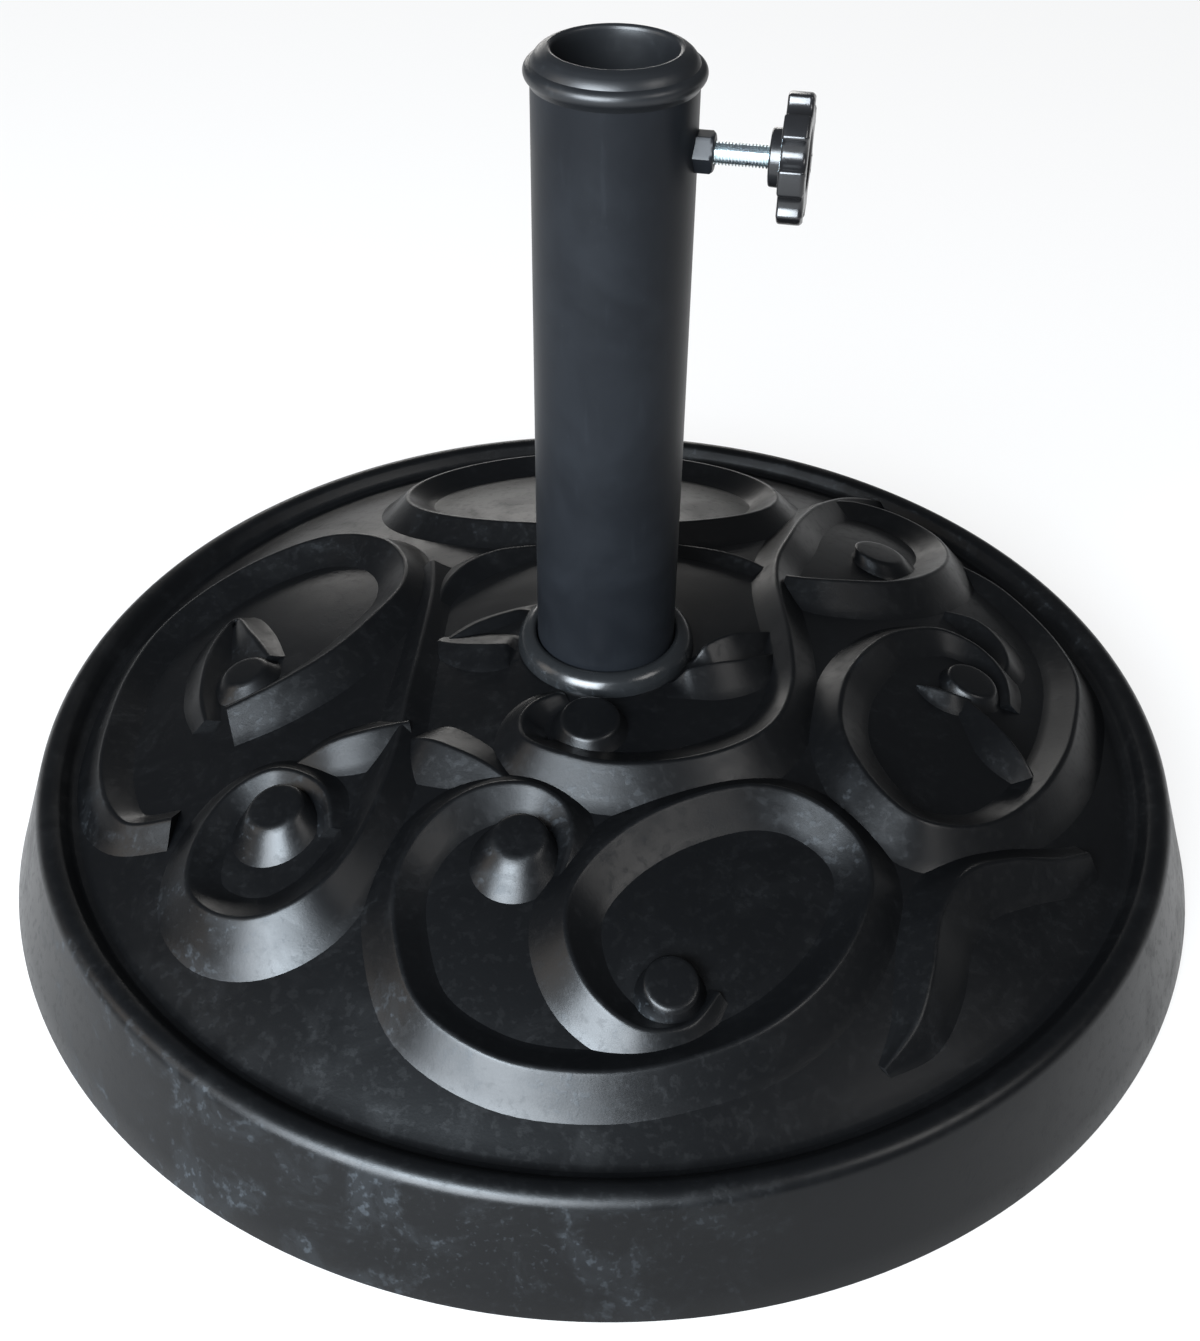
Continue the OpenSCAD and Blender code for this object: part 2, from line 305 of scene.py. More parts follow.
class Paint:
    """The node tree of one material."""

    def __init__(self, name: str) -> None:
        """Makes an empty material of that name."""
        self.material = bpy.data.materials.new(name)
        self.material.use_nodes = True
        self.tree = self.material.node_tree
        self.tree.nodes.clear()
        self.place = self.node("ShaderNodeTexCoord", output="Object").socket

    def node(self, kind: str, settings: dict[str, Any] | None = None,
             inputs: dict[Any, Any] | None = None, output: Any = 0) -> Value:
        """Adds a node.

        Args:
            kind: the node's type.
            settings: its settings, set before its sockets.
            inputs: the value or link of each socket, by name or number.
            output: the output socket that is returned.

        Returns:
            The chosen output.
        """
        made = self.tree.nodes.new(kind)
        for key, value in (settings or {}).items():
            setattr(made, key, value)
        for key, value in (inputs or {}).items():
            source = value.socket if isinstance(value, Value) else value
            if isinstance(source, bpy.types.NodeSocket):
                self.tree.links.new(source, made.inputs[key])
            else:
                made.inputs[key].default_value = source
        return Value(self, made.outputs[output])

    def noise(self, size: float, detail: float = 3.0, rough: float = 0.5, bend: float = 0.0,
              stretch: Direction = (1, 1, 1)) -> Value:
        """A cloudy noise fixed to the piece.

        Args:
            size: the size of its features, in millimetres.
            detail: the number of finer layers.
            rough: how strong the finer layers are.
            bend: how much it's distorted.
            stretch: a factor on each coordinate.

        Returns:
            The noise, from 0 to 1.
        """
        place = self.node("ShaderNodeVectorMath", {"operation": "MULTIPLY"},
                          {0: self.place, 1: stretch}).socket
        return self.node("ShaderNodeTexNoise", {"noise_dimensions": "3D"},
                         {"Vector": place, "Scale": 1000 / size, "Detail": detail,
                          "Roughness": rough, "Distortion": bend}, "Fac")

    def cells(self, size: float, spread: float = 1.0) -> Value:
        """The distance to scattered points.

        Args:
            size: how far apart they are, in millimetres.
            spread: how irregular they are, from 0 to 1.

        Returns:
            The distance, in steps of that size.
        """
        return self.node("ShaderNodeTexVoronoi", {"feature": "F1"},
                         {"Vector": self.place, "Scale": 1000 / size, "Randomness": spread},
                         "Distance")

    def mix(self, factor: Value, first: Any, second: Any) -> Value:
        """Mixes two colours.

        Args:
            factor: 0 for the first colour and 1 for the second.
            first, second: colours, or links of colours.

        Returns:
            The mixed colour.
        """
        full = [c if isinstance(c, Value) else (*c, 1) for c in (first, second)]
        return self.node("ShaderNodeMix", {"data_type": "RGBA"},
                         {0: factor, 6: full[0], 7: full[1]}, 2)

    def edges(self, low: float = 0.52, high: float = 0.62) -> Value:
        """Where the surface bulges sharply, as on a worn edge, from 0 to 1."""
        return self.node("ShaderNodeNewGeometry", output="Pointiness").step(low, high)

    def bump(self, layers: Sequence[tuple[Value, float]]) -> Value:
        """Lays bumps on each other.

        Args:
            layers: each a height from 0 to 1 and its depth in millimetres.

        Returns:
            The normal.
        """
        normal: Value | None = None
        for height, depth in layers:
            inputs = {"Height": height, "Distance": depth * MM, "Strength": 1.0}
            if normal is not None:
                inputs["Normal"] = normal
            normal = self.node("ShaderNodeBump", None, inputs)
        return normal

    def finish(self, constants: dict[str, Any], varying: dict[str, Value]) -> bpy.types.Material:
        """Closes the tree with its shader.

        Args:
            constants: the shader's sockets that are the same all over.
            varying: the sockets that vary over the surface.

        Returns:
            The material.
        """
        shader = self.node("ShaderNodeBsdfPrincipled", None, {**constants, **varying})
        out = self.tree.nodes.new("ShaderNodeOutputMaterial")
        self.tree.links.new(shader.socket, out.inputs["Surface"])
        return self.material


@dataclass(frozen=True)
class MouldedPlastic:
    """Moulded black plastic with a fine grain, dull blotches, and a pale mottle that is partly dust and
    partly painted sheen.

    Attributes:
        name: the material's name.
        colour, dust_and_sheen: the plastic, and the pale colour of its dust and painted sheen.
        dust_and_sheen_amount: how much dust and painted sheen there is, from 0 to 1.
        dust_and_sheen_side: the side that the dust and painted sheen lie on; the default faces the key
            light, where the pale mottle is a painted highlight.
        gloss: the roughness where it's cleanest.
        shine: the strength of its reflections.
        spread: how much rougher the dull blotches are.
        grain, grain_depth: the size and depth of the moulded grain, in millimetres.
        blotch: the size of the blotches, in millimetres.
        wear: how pale the worn edges are.
    """

    name: str
    colour: Colour = (0.0012, 0.0013, 0.0015)
    dust_and_sheen: Colour = (0.052, 0.060, 0.068)
    dust_and_sheen_amount: float = 0.55
    dust_and_sheen_side: Direction = (-0.36, -0.85, 0.38)
    gloss: float = 0.37
    shine: float = 0.20
    spread: float = 0.14
    grain: float = 0.9
    grain_depth: float = 0.02
    blotch: float = 26.0
    wear: float = 0.35

    def material(self) -> bpy.types.Material:
        """Builds the material."""
        p = Paint(self.name)
        patches = p.noise(self.blotch, 5, 0.62, 0.8).step(0.46, 0.70)
        flecks = p.noise(3.2, 2, 0.6).step(0.52, 0.66)
        clouds = p.noise(self.blotch * 2.7, 3, 0.5).step(0.42, 0.66)
        specks = p.noise(1.6, 1, 0.5).step(0.64, 0.72)
        # Painted sheen: the pale mottle below is laid mostly on slopes that face the given side, which
        # by default points at the key light; only a small even share is plain dust.
        slopes = p.node("ShaderNodeTexCoord", output="Normal")
        dust_and_sheen_facing = p.node("ShaderNodeVectorMath", {"operation": "DOT_PRODUCT"},
                        {0: slopes, 1: self.dust_and_sheen_side}, "Value").step(0.68, 0.96)
        dust_and_sheen = ((patches * flecks * 0.45 + patches * 0.12 + specks * clouds * 0.15)
                * (dust_and_sheen_facing * 0.96 + 0.04) * self.dust_and_sheen_amount
                + p.edges(0.54, 0.60) * patches * (0.2 * self.wear))
        base = p.mix(dust_and_sheen, self.colour, self.dust_and_sheen)
        rough = self.gloss + self.spread * (patches * 0.6 + flecks * 0.4) - self.spread * 0.3
        normal = p.bump([
            (p.noise(self.blotch, 2), 0.14),
            (p.noise(self.grain, 3, 0.6), self.grain_depth),
            (flecks * patches, 0.02)])
        return p.finish({"IOR": 1.5, "Specular IOR Level": self.shine}, {
            "Base Color": base, "Roughness": rough, "Normal": normal})


@dataclass(frozen=True)
class PaintedSteel:
    """Satin black paint with a slight orange peel, faint rub marks and a little dust.

    Attributes:
        name: the material's name.
        colour, bare: the paint, and the haze, rubs and dust on it.
        gloss: the roughness where it's cleanest.
        shine: the strength of its reflections.
        peel, peel_depth: the size and depth of the orange peel, in millimetres.
    """

    name: str
    colour: Colour = (0.0040, 0.0046, 0.0057)
    bare: Colour = (0.014, 0.016, 0.019)
    gloss: float = 0.36
    shine: float = 0.11
    peel: float = 2.4
    peel_depth: float = 0.02

    def material(self) -> bpy.types.Material:
        """Builds the material."""
        p = Paint(self.name)
        rubs = p.noise(3.0, 3, 0.6, 0.0, (1, 1, 0.12)).step(0.58, 0.80)
        haze = p.noise(38, 4, 0.55, 0.4).step(0.35, 0.75)
        dots = p.noise(0.9, 2).step(0.70, 0.78)
        base = p.mix(haze * 0.25 + rubs * 0.12 + dots * 0.3, self.colour, self.bare)
        rough = self.gloss + haze * 0.07 + rubs * 0.05
        normal = p.bump([(p.noise(self.peel, 2, 0.4), self.peel_depth),
                         (p.noise(0.5, 2), 0.004)])
        return p.finish({"IOR": 1.5, "Specular IOR Level": self.shine}, {
            "Base Color": base, "Roughness": rough, "Normal": normal})


@dataclass(frozen=True)
class Metal:
    """Plated or bare steel with tool marks along one direction.

    Attributes:
        name: the material's name.
        colour, tint: the metal and the film in patches on it.
        gloss: the roughness where it's cleanest.
        marks: the size of the tool marks, in millimetres.
        stretch: a factor on each coordinate of the tool marks.
    """

    name: str
    colour: Colour = (0.62, 0.66, 0.70)
    tint: Colour = (0.50, 0.57, 0.60)
    gloss: float = 0.24
    marks: float = 0.6
    stretch: Direction = (1, 1, 1)

    def material(self) -> bpy.types.Material:
        """Builds the material."""
        p = Paint(self.name)
        film = p.noise(6, 3, 0.6).step(0.3, 0.7)
        lines = p.noise(self.marks, 2, 0.5, 0.0, self.stretch)
        stains = p.noise(2.5, 4, 0.7).step(0.60, 0.78)
        base = p.mix(film, self.colour, self.tint)
        base = p.mix(stains * 0.3, base, (0.22, 0.22, 0.21))
        rough = self.gloss + film * 0.08 + stains * 0.18
        return p.finish({"Metallic": 1.0}, {
            "Base Color": base, "Roughness": rough, "Normal": p.bump([(lines, 0.01)])})


@dataclass(frozen=True)
class Concrete:
    """Cast concrete with sand, pores and damp clouds."""

    name: str
    pale: Colour = (0.36, 0.35, 0.33)
    dark: Colour = (0.19, 0.185, 0.175)

    def material(self) -> bpy.types.Material:
        """Builds the material."""
        p = Paint(self.name)
        clouds = p.noise(30, 5, 0.6)
        sand = p.noise(1.2, 3, 0.6)
        pores = 1 - p.cells(7).step(0.06, 0.16)
        base = p.mix((clouds + sand * 0.6).step(0.5, 1.1), self.dark, self.pale)
        base = p.mix(pores, base, (0.10, 0.10, 0.095))
        return p.finish({"IOR": 1.45}, {
            "Base Color": base, "Roughness": 0.8 + sand * 0.15,
            "Normal": p.bump([(sand, 0.2), (1 - pores, 0.8)])})


@dataclass(frozen=True)
class Rubber:
    """Soft black rubber with a chalky bloom and fine scuffs."""

    name: str
    colour: Colour = (0.016, 0.016, 0.017)
    bloom: Colour = (0.06, 0.06, 0.058)

    def material(self) -> bpy.types.Material:
        """Builds the material."""
        p = Paint(self.name)
        chalk = p.noise(5, 4, 0.65).step(0.45, 0.75)
        scuff = p.noise(1.0, 3, 0.6, 0.5).step(0.55, 0.7)
        base = p.mix(chalk * 0.6 + scuff * 0.2, self.colour, self.bloom)
        return p.finish({"IOR": 1.5}, {
            "Base Color": base, "Roughness": 0.62 + chalk * 0.2,
            "Normal": p.bump([(p.noise(0.8, 3), 0.04)])})


class Finishes:
    """Every finish of the parasol base, built once."""

    def __init__(self) -> None:
        """Builds the materials."""
        # The shell, trim, ring, knob and seat keep the default side, towards the key light, so their
        # pale mottle is mostly painted sheen; the cover's lies on its downward face and is dust.
        self.shell = MouldedPlastic("moulded_shell").material()
        self.cover = MouldedPlastic("moulded_cover", colour=(0.008, 0.008, 0.0085), gloss=0.46,
                                    shine=0.45, dust_and_sheen_side=(0.0, 0.0, -1.0), dust_and_sheen_amount=0.9,
                                    dust_and_sheen=(0.075, 0.072, 0.066), grain=1.8, grain_depth=0.08,
                                    blotch=34).material()
        self.trim = MouldedPlastic("smooth_trim", colour=(0.0055, 0.006, 0.0068), dust_and_sheen_amount=0.10, shine=0.32,
                                   gloss=0.38, spread=0.06, grain=0.6, grain_depth=0.008,
                                   blotch=14, wear=0.1).material()
        self.ring = MouldedPlastic("worn_ring", colour=(0.006, 0.0065, 0.007), dust_and_sheen_amount=0.3,
                                   gloss=0.24, shine=0.34, spread=0.10, grain=0.6,
                                   grain_depth=0.008, blotch=9, wear=0.3).material()
        self.knob = MouldedPlastic("glossy_knob", colour=(0.006, 0.006, 0.0065), dust_and_sheen_amount=0.06,
                                   gloss=0.26, shine=0.5, spread=0.05, grain=0.7, grain_depth=0.004,
                                   blotch=9, wear=0.1).material()
        self.seat = MouldedPlastic("pole_seat_plastic", colour=(0.015, 0.015, 0.016),
                                   gloss=0.45).material()
        self.tube = PaintedSteel("painted_tube").material()
        self.nut = PaintedSteel("painted_nut", gloss=0.36, shine=0.22, peel=1.2,
                                peel_depth=0.01).material()
        self.zinc = Metal("bright_zinc", colour=(0.80, 0.86, 0.90), tint=(0.66, 0.78, 0.80),
                          gloss=0.20, stretch=(4, 0.6, 0.6)).material()
        self.plated = Metal("plated_fixings", gloss=0.3).material()
        self.bare = Metal("bare_steel", colour=(0.42, 0.42, 0.43), tint=(0.33, 0.32, 0.31),
                          gloss=0.4).material()
        self.concrete = Concrete("cast_concrete").material()
        self.rubber = Rubber("foot_rubber").material()


def dress(node: str, material: bpy.types.Material) -> None:
    """Gives a CAD node that stays in view its finish.

    Args:
        node: the node's name.
        material: its material.
    """
    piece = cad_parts[node]
    piece.data.materials.clear()
    piece.data.materials.append(material)
    log.info("%s: dressed with %s", node, material.name)


def mount(piece: bpy.types.Object, material: bpy.types.Material, slot: str, body: str,
          *nodes: str) -> None:
    """Dresses a piece and lets it stand for CAD nodes on a body.

    Args:
        piece: the piece.
        material: its material.
        slot: the record's material slot; not used.
        body: the body it rides on.
        nodes: the CAD nodes it stands for.
    """
    piece.data.materials.clear()
    piece.data.materials.append(material)
    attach(piece, body)
    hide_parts(*nodes)
    log.info("%s: %d faces, on %s, for %s", piece.name, len(piece.data.polygons), body,
             ", ".join(nodes))


# ---- the base

@dataclass(frozen=True)
class Eye:
    """A rounded stud in the middle of a scroll, wider on one side of its foot."""

    x: float
    y: float
    top_r: float
    foot_r: float
    height: float
    lean: Point2 = (0.0, 0.0)


@dataclass(frozen=True)
class Scroll:
    """A raised band with a roof-shaped section, along a line of x, y, half-width stations.

    The left side can be a share of the half width, and the ridge a factor higher.
    """

    stations: tuple[Station, ...]
    closed: bool = False
    left: float = 1.0
    rise: float = 1.0


def oval(cx: float, cy: float, rx: float, ry: float, width: float) -> tuple[Station, ...]:
    """Twenty stations round an oval.

    Args:
        cx, cy: its centre.
        rx, ry: its half axes.
        width: the half width of the band.

    Returns:
        The stations.
    """
    return tuple((cx + rx * math.cos(math.radians(18 * i)),
                  cy + ry * math.sin(math.radians(18 * i)), width) for i in range(20))


SCROLLS = (
    Scroll((
        (-14, -112, 4), (-10, -98, 7), (-13, -85, 8), (-25, -77, 9), (-42, -79, 10),
        (-57, -90, 10), (-66, -108, 10), (-65, -130, 10), (-55, -154, 10), (-30, -170, 10),
        (0, -174, 10), (28, -169, 10), (54, -157, 11), (75, -136, 11), (87, -110, 11),
        (84, -91, 11), (68, -78, 11), (48, -76, 11), (24, -85, 11), (4, -99, 11),
        (-9, -116, 11), (-11, -132, 11), (-4, -149, 10), (11, -160, 8), (27, -158, 6),
        (37, -146, 3))),
    Scroll((
        (-91, -86, 4), (-94, -73, 7), (-103, -64, 8), (-116, -60, 9), (-130, -68, 9),
        (-138, -86, 10), (-137, -104, 11), (-125, -117, 13), (-109, -121, 14), (-94, -115, 14),
        (-84, -102, 12), (-77, -84, 10), (-72, -60, 9), (-70, -30, 8), (-68, 0, 7),
        (-67, 30, 7), (-69, 52, 8))),
    Scroll((
        (-14, -32, 4), (-24, -38, 6), (-29, -49, 8), (-24, -62, 12), (0, -71, 13),
        (25, -69, 13), (46, -60, 13), (60, -45, 11), (67, -24, 9), (68, 2, 9), (66, 35, 9),
        (68, 58, 9), (75, 80, 10), (83, 104, 9), (94, 127, 9), (110, 148, 9), (128, 160, 8),
        (143, 162, 5))),
    Scroll(oval(-7, 122, 80, 49, 11), closed=True),
    Scroll((
        (-149, -72, 8), (-166, -69, 8), (-177, -56, 10), (-184, -35, 11), (-186, -10, 11),
        (-185, 15, 11), (-178, 40, 12), (-163, 60, 13), (-141, 77, 13), (-115, 84, 13),
        (-93, 74, 12), (-81, 55, 11), (-79, 33, 11), (-88, 12, 12), (-101, -7, 13),
        (-119, -20, 13), (-137, -27, 12))),
    Scroll((
        (-146, -25, 5), (-151, -8, 7), (-152, 16, 8), (-146, 34, 8), (-137, 20, 9),
        (-127, 4, 6))),
    Scroll((
        (152, -6, 4), (152, 10, 7), (144, 23, 8), (130, 27, 9), (116, 21, 9), (105, 12, 9),
        (94, -4, 10), (86, -22, 10), (83, -45, 11), (91, -68, 13), (107, -81, 13),
        (131, -75, 10), (152, -57, 11), (168, -32, 12), (178, -6, 12), (184, 20, 12),
        (182, 44, 10), (175, 64, 9), (164, 84, 8), (151, 99, 5))),
    Scroll((
        (70, 44, 9), (80, 41, 12), (94, 43, 13), (111, 49, 13), (127, 61, 13), (140, 80, 13),
        (145, 102, 12), (140, 122, 11), (126, 137, 10), (108, 140, 9), (93, 128, 8),
        (84, 110, 7), (79, 92, 5), (77, 78, 2))),
    Scroll((
        (170, -72, 6), (156, -81, 9), (140, -87, 11), (122, -97, 12), (110, -114, 12),
        (105, -134, 11), (99, -150, 8), (88, -163, 2))),
)
LEAVES = (
    Scroll(((-108, -54, 1), (-96, -52, 9), (-82, -50, 11), (-68, -46, 8))),
    Scroll(((-70, -50, 2), (-62, -55, 12), (-52, -60, 12), (-40, -66, 8), (-27, -75, 1)), rise=0.7),
    Scroll(((20, -25, 6), (29, -22, 9), (39, -19, 11), (49, -15, 10), (57, -9, 7), (63, -2, 1)),
           left=0.2, rise=0.95),
    Scroll(((30, -14, 5), (37, -7, 8), (46, -1, 9), (55, 5, 6), (64, 11, 1)), left=0.3, rise=1.1),
    Scroll(((-24, 20, 3), (-36, 15, 4), (-48, 9, 4), (-60, 1, 1)), left=1.0, rise=0.9),
    Scroll(((-66, 4, 1), (-55, -3, 8), (-44, -6, 11), (-33, -6, 8), (-26, -10, 1)), rise=0.45),
    Scroll(((-28, 62, 6), (-44, 56, 9), (-56, 46, 9), (-63, 32, 6), (-64, 16, 2)), left=0.9,
           rise=0.85),
    Scroll(((24, 66, 5), (44, 62, 6), (56, 57, 6), (68, 50, 3)), rise=0.9),
    Scroll(((136, 50, 3), (147, 44, 9), (155, 33, 9), (156, 20, 7), (150, 8, 2)), rise=0.8),
    Scroll(((134, -10, 5), (140, -20, 9), (146, -31, 12), (152, -40, 9), (157, -47, 2)),
           left=0.45, rise=0.9),
    Scroll(((116, -6, 1), (122, -9, 5), (129, -11, 6), (136, -10, 4)), left=0.5, rise=1.2),
)
EYES = (
    Eye(-27, -99, 8.5, 15, 8, (-1, -3)), Eye(22, -147, 8.5, 11, 7),
    Eye(-111, -78, 9, 15, 8, (0, -2)), Eye(-5, -47, 10, 13, 5),
    Eye(-135, -3, 7.5, 13, 5), Eye(138, 0, 9, 12, 5), Eye(113, 84, 10, 14, 5, (3, -2)),
)


@dataclass
class Shell:
    """The moulded shell: a leaning wall, a rounded rim and a domed top with raised scrolls."""

    base_r: float = 226.0
    rim_h: float = 43.4
    draft: float = 0.36
    dome_h: float = 82.2
    valley: Point2 = (198.0, 37.0)
    bottom: float = 3.0
    wall: float = 3.0
    rim_round: float = 6.0
    seat_z: float = 81.0
    seat_r: float = 33.0
    hole_r: float = 25.4
    turn: float = 9.5
    slope: float = 0.75
    crest_round: float = 1.7
    sink: float = 1.6
    ring_clear: float = 4.0
    relief_r: float = 205.0
    segments: int = 256

    def __post_init__(self) -> None:
        """Works out the sphere that the domed top is part of, and the rim's centre."""
        rise = self.dome_h - self.valley[1]
        self.dome_r = (self.valley[0] ** 2 + rise ** 2) / (2 * rise)
        self.dome_z = self.dome_h - self.dome_r
        self.rim_z = self.rim_h - self.rim_round
        lean = math.sqrt(1 + self.draft ** 2)
        self.rim_r = self.base_r - self.draft * self.rim_z - self.rim_round * lean

    def top(self, x: float, y: float, skin: float = 0.0) -> float:
        """The height of the domed top.

        Args:
            x, y: the place.
            skin: how far inside the top's surface.

        Returns:
            The height.
        """
        return self.dome_z + math.sqrt((self.dome_r - skin) ** 2 - x * x - y * y)

    def profile(self) -> list[Point2]:
        """The closed outline of the shell without its scrolls."""
        lean = math.degrees(math.atan(self.draft))
        outer = self.base_r - self.draft * self.bottom
        out: list[Point2] = [(outer - 0.7, self.bottom), (outer - 0.2, self.bottom + 0.2),
                             (outer - 0.25, self.bottom + 0.9)]
        for z in (12.0, 22.0, 31.0):
            out.append((self.base_r - self.draft * z, z))
        out += arc(self.rim_r, self.rim_z, self.rim_round, lean, 118, 16)
        vx, vz = self.valley
        out += [(vx + 4.6, vz + 5.1), (vx + 2.6, vz + 2.6), (vx + 0.9, vz + 1.0),
                (vx - 0.8, vz + 0.75), (vx - 3, vz + 1.5)]
        for i in range(1, 40):
            r = vx - 3 - (vx - 3 - self.seat_r - 1) * i / 39
            out.append((r, self.top(r, 0)))
        out += [(self.seat_r + 0.2, self.seat_z + 0.1), (self.seat_r - 0.6, self.seat_z),
                (self.hole_r + 0.5, self.seat_z), (self.hole_r, self.seat_z - 0.5),
                (self.hole_r, self.seat_z - 8), (self.hole_r + self.wall, self.seat_z - 8)]
        for i in range(1, 12):
            r = self.hole_r + self.wall + (vx - 6 - self.hole_r - self.wall) * i / 11
            out.append((r, self.top(r, 0, self.wall)))
        out += arc(self.rim_r, self.rim_z, self.rim_round - self.wall, 140, lean, 6)
        out.append((outer - 3.9, self.bottom + 0.7))
        out.append((outer - 3.2, self.bottom))
        return out

    def band(self, shape: Shape, scroll: Scroll) -> None:
        """Adds one raised band to a mesh.

        Args:
            shape: the mesh.
            scroll: the band.
        """
        line = smooth_line(scroll.stations, 7, scroll.closed)
        n = len(line)
        rows = []
        for i, (x, y, width) in enumerate(line):
            before = line[(i - 1) % n] if scroll.closed else line[max(i - 1, 0)]
            after = line[(i + 1) % n] if scroll.closed else line[min(i + 1, n - 1)]
            along = Vector((after[0] - before[0], after[1] - before[1]))
            along.normalize()
            across = Vector((-along.y, along.x))
            left, right = width * scroll.left, width
            turn_in = (Vector((after[0] - x, after[1] - y))
                       - Vector((x - before[0], y - before[1]))).dot(across)
            if abs(turn_in) > 1e-6:
                step = 0.5 * (Vector(after[:2]) - Vector(before[:2])).length
                inside = 0.93 * step * step / abs(turn_in)
                if turn_in > 0:
                    left = min(left, inside)
                else:
                    right = min(width, inside)
            rows.append(self.section(x, y, across, left, right, self.slope * scroll.rise * width))
        index = shape.grid(rows, wrap_rows=scroll.closed, wrap_columns=True)
        if not scroll.closed:
            shape.cap(index[0][::-1])
            shape.cap(index[-1])

    def section(self, x: float, y: float, across: Vector, left: float, right: float,
                height: float) -> list[Vector]:
        """The section of a band at one place.

        Args:
            x, y: the place on the band's line.
            across: the direction across the band, to its left.
            left, right: the half width on each side.
            height: the height of the roof before its ridge is rounded.

        Returns:
            The section's points on the domed top.
        """
        near = math.hypot(x, y)
        fade = min(max((near - self.seat_r) / self.ring_clear, 0.15), 1.0)
        height *= fade * fade * (3 - 2 * fade)
        # Each side runs from under the dome, round the foot and up the slope to the ridge.
        half = []
        for width in (left, right):
            slant = math.atan2(height, max(width, 0.01))
            ridge = min(self.crest_round, 0.3 * width)
            side = [(width * (1 + self.sink / max(height, 0.8)) + 1.0, -self.sink),
                    (width + 0.8, -0.1 * self.sink), (width - 0.2, 0.1 * self.sink + 0.15),
                    (width * 0.80 - 0.5, height * 0.20 + 0.35)]
            edge = ridge * math.sin(slant)
            drop = ridge / math.cos(slant) - ridge
            side.append((edge + 0.5, height - (edge + 0.5) * math.tan(slant)))
            for k in range(4, 0, -1):
                a = slant * k / 4
                side.append((ridge * math.sin(a), height - drop - ridge * (1 - math.cos(a))))
            half.append([(u, min(h, height - drop)) for u, h in side])
        crest = [(0.0, max(h for _, h in half[0]))]
        points = half[0] + crest + [(-u, h) for u, h in reversed(half[1])]
        out = []
        for u, h in points:
            px, py = x + across.x * u, y + across.y * u
            far = math.hypot(px, py)
            pull = min(1.0, self.relief_r / max(far, 1e-6))
            px, py = px * pull, py * pull
            out.append(Vector((px, py, self.top(px, py) + h)))
        return out

    def stud(self, shape: Shape, eye: Eye) -> None:
        """Adds the stud in the middle of a scroll to a mesh.

        Args:
            shape: the mesh.
            eye: the stud.
        """
        drop = eye.foot_r - eye.top_r
        rings = [(eye.foot_r + 1.6, -self.sink, 1.0), (eye.foot_r + 0.5, 0.0, 1.0),
                 (eye.foot_r - 0.25 * drop, 0.25 * eye.height, 0.8),
                 (eye.top_r + 0.25 * drop, 0.78 * eye.height, 0.2),
                 (eye.top_r + 0.08 * drop, 0.93 * eye.height, 0.05),
                 (eye.top_r - 0.5, 0.99 * eye.height, 0.0),
                 (eye.top_r - 1.4, eye.height, 0.0), (eye.top_r * 0.4, eye.height, 0.0)]
        rows = []
        for r, h, share in rings:
            cx, cy = eye.x + eye.lean[0] * share, eye.y + eye.lean[1] * share
            row = []
            for i in range(40):
                a = 2 * math.pi * i / 40
                px, py = cx + r * math.cos(a), cy + r * math.sin(a)
                row.append(Vector((px, py, self.top(px, py) + h)))
            rows.append(row)
        index = shape.grid(rows, wrap_columns=True)
        shape.cap(index[0][::-1])
        shape.fan(index[-1], Vector((eye.x, eye.y, self.top(eye.x, eye.y) + eye.height)))

    def build(self, finishes: Finishes) -> None:
        """Builds and dresses the shell."""
        body = turned("shell_body", self.profile(), self.segments)
        relief = Shape()
        for scroll in SCROLLS + LEAVES:
            self.band(relief, scroll)
        for eye in EYES:
            self.stud(relief, eye)
        swing = Matrix.Rotation(math.radians(self.turn), 3, "Z")
        relief.points = [swing @ p for p in relief.points]
        piece = joined("scroll_shell", [body, relief.build("shell_relief", 50)])
        mount(piece, finishes.shell, "shell_plastic", "base", "base_shell")


@dataclass
class Underside:
    """The cover, its screws and the feet, with the concrete above them."""

    feet: int = 6

    def build(self, finishes: Finishes) -> None:
        """Dresses the CAD nodes of the underside."""
        dress("concrete_core", finishes.concrete)
        dress("bottom_cover", finishes.cover)
        dress("cover_screws", finishes.plated)
        for i in range(self.feet):
            dress(f"foot_{i + 1}", finishes.rubber)


# ---- the tube

@dataclass
class Mast:
    """The pole tube, the ring round its foot, and what holds it down."""

    tube_r: float = 25.0
    seat_z: float = 81.0
    segments: int = 192

    def foot_ring(self) -> bpy.types.Object:
        """The rounded ring round the tube's foot."""
        z, r = self.seat_z, self.tube_r
        top = smooth_line([(r + 7.3, z + 1.0), (r + 6.9, z + 2.9), (r + 5.7, z + 5.0),
                           (r + 4.1, z + 6.4), (r + 2.4, z + 7.1), (r + 1.0, z + 6.8),
                           (r + 0.35, z + 5.8)], 4)
        outline = [(r + 7.3, z + 0.05), *top, (r + 0.3, z + 5.0), (r + 0.3, z + 0.05)]
        return turned("foot_trim_ring", outline, self.segments)

    def build(self, finishes: Finishes) -> None:
        """Builds and dresses the mast."""
        dress("mast_tube", finishes.tube)
        mount(self.foot_ring(), finishes.ring, "trim_plastic", "base", "foot_ring")
        dress("tube_plate", finishes.bare)
        for node in ("foot_nut", "centre_bolt", "plain_washer", "spring_washer"):
            dress(node, finishes.plated)
        dress("pole_seat", finishes.seat)


